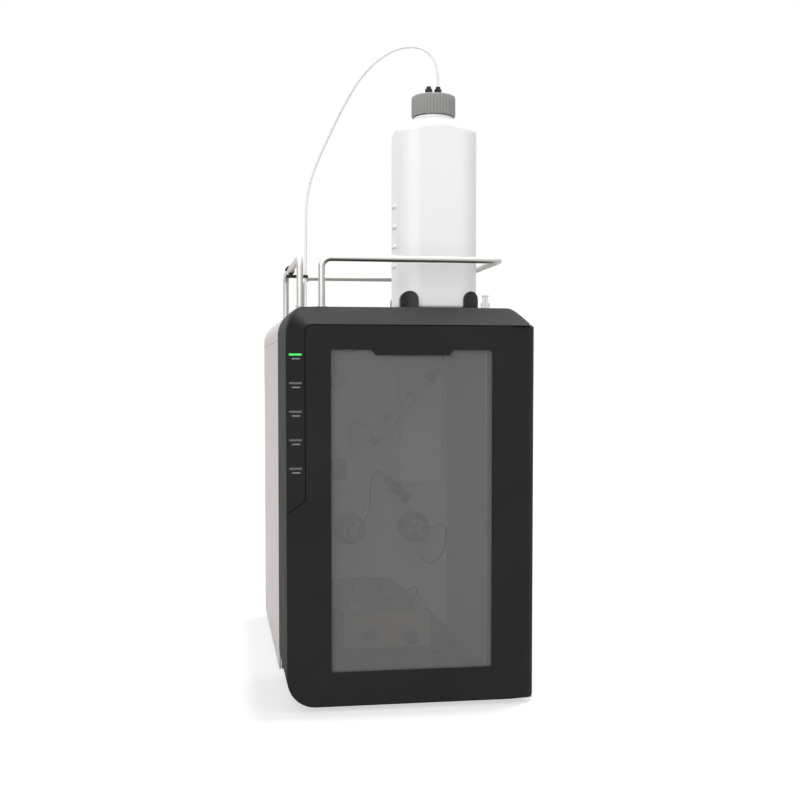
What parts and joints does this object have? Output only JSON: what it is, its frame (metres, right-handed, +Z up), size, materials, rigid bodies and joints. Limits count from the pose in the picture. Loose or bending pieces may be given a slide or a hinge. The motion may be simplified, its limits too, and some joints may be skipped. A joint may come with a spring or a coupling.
{
  "type": "ion chromatograph",
  "caption": "Bench-top ion chromatograph with a smoked hinged door over its flow compartment, a status light strip, top guard rails and an eluent bottle with its feed tube.",
  "frame": {"origin": "on the bench, under the middle of the case", "axes": "+X to the right, +Y to the back, +Z up; the door faces -Y"},
  "size_m": [0.285, 0.54, 0.795],
  "materials": {
    "black_moulding": "fine satin texture",
    "smoked_pane": "polished smoked sheet",
    "case_grey": "fine satin paint",
    "rail_steel": "polished tube",
    "bottle_resin": "translucent blown resin",
    "cap_grey": "moulded",
    "fitting_black": "moulded",
    "tube_white": "drawn tube",
    "peek_beige": "machined",
    "bay_grey": "fine satin paint",
    "dark_plastic": "moulded",
    "knob_grey": "moulded",
    "foot_rubber": "matt",
    "sheet_steel": "zinc plated",
    "aluminium": "milled",
    "board_green": "solder mask",
    "white_plastic": "moulded",
    "light_guide": "clear moulded"
  },
  "bodies": {
    "case": {"base_pan": "sheet_steel", "rubber_feet": "foot_rubber", "front_hood": "black_moulding", "rail_main": "rail_steel", "rail_side": "rail_steel", "rail_ferrules": "rail_steel", "door_hinge_pins": "sheet_steel", "door_magnet": "fitting_black", "status_lights": "light_guide", "top_cover": "case_grey", "left_side_panel": "case_grey", "right_side_panel": "case_grey", "rear_panel": "case_grey", "power_inlet": "fitting_black", "data_ports": "sheet_steel", "waste_outlets": "white_plastic", "fan_frame": "dark_plastic", "panel_screws": "sheet_steel", "bottle": "bottle_resin", "bottle_holder": "fitting_black", "cap_insert": "cap_grey", "cap_fittings": "fitting_black", "pickup_line": "tube_white", "eluent_tube": "tube_white", "tube_clips": "fitting_black", "tube_gland": "fitting_black", "drain_fitting": "white_plastic", "bay_liner": "bay_grey", "drip_tray": "bay_grey", "leak_sensor": "dark_plastic", "valve_bodies": "dark_plastic", "valve_stators": "peek_beige", "valve_actuators": "aluminium", "pump_head": "peek_beige", "pump_mount": "aluminium", "check_valves": "peek_beige", "pump_drive": "aluminium", "pump_motor": "dark_plastic", "separator_column": "peek_beige", "guard_and_nuts": "dark_plastic", "column_clips": "dark_plastic", "conductivity_cell": "dark_plastic", "suppressor": "peek_beige", "generator_cartridge": "white_plastic", "flow_tubing": "peek_beige", "main_board": "board_green", "power_supply": "sheet_steel", "degasser": "sheet_steel"},
    "door": {"door_skin": "black_moulding", "door_liner": "dark_plastic", "door_window": "smoked_pane"},
    "cap": {"bottle_cap": "cap_grey"},
    "prime_knob": {"prime_knob": "knob_grey"},
    "waste_knob": {"waste_knob": "dark_plastic"},
    "left_rotor": {"left_valve_rotor": "dark_plastic"},
    "right_rotor": {"right_valve_rotor": "dark_plastic"},
    "left_piston": {"left_piston": "white_plastic"},
    "right_piston": {"right_piston": "white_plastic"},
    "fan": {"fan_rotor": "dark_plastic"},
    "rocker": {"power_rocker": "fitting_black"}
  },
  "joints": [
    {"name": "door_swing", "type": "hinge", "parent": "case", "child": "door", "pos_m": [0.1385, -0.251, 0.218], "axis": [0, 0, 1], "range_deg": [0, 115]},
    {"name": "cap_turn", "type": "hinge", "parent": "case", "child": "cap", "pos_m": [0.0585, -0.075, 0.717], "axis": [0, 0, 1], "continuous": true},
    {"name": "prime_knob_turn", "type": "hinge", "parent": "case", "child": "prime_knob", "pos_m": [-0.0255, -0.09, 0.044], "axis": [0, 1, 0], "range_deg": [0, 180]},
    {"name": "waste_knob_turn", "type": "hinge", "parent": "case", "child": "waste_knob", "pos_m": [0.027, -0.09, 0.0407], "axis": [0, 1, 0], "range_deg": [0, 180]},
    {"name": "left_valve_turn", "type": "hinge", "parent": "case", "child": "left_rotor", "pos_m": [-0.0465, -0.05, 0.177], "axis": [0, 1, 0], "range_deg": [0, 60]},
    {"name": "right_valve_turn", "type": "hinge", "parent": "case", "child": "right_rotor", "pos_m": [0.0372, -0.05, 0.177], "axis": [0, 1, 0], "range_deg": [0, 60]},
    {"name": "left_piston_slide", "type": "slide", "parent": "case", "child": "left_piston", "axis": [0, -1, 0], "range_m": [0, 0.005]},
    {"name": "right_piston_slide", "type": "slide", "parent": "case", "child": "right_piston", "axis": [0, -1, 0], "range_m": [-0.005, 0]},
    {"name": "fan_spin", "type": "hinge", "parent": "case", "child": "fan", "pos_m": [-0.0475, 0.25, 0.33], "axis": [0, 1, 0], "continuous": true},
    {"name": "power_rocker_tilt", "type": "hinge", "parent": "case", "child": "rocker", "pos_m": [0.0825, 0.2629, 0.072], "axis": [1, 0, 0], "range_deg": [0, 24]}
  ],
  "couplings": [
    {"joint": "right_piston_slide", "follows": "left_piston_slide", "ratio": -1}
  ]
}
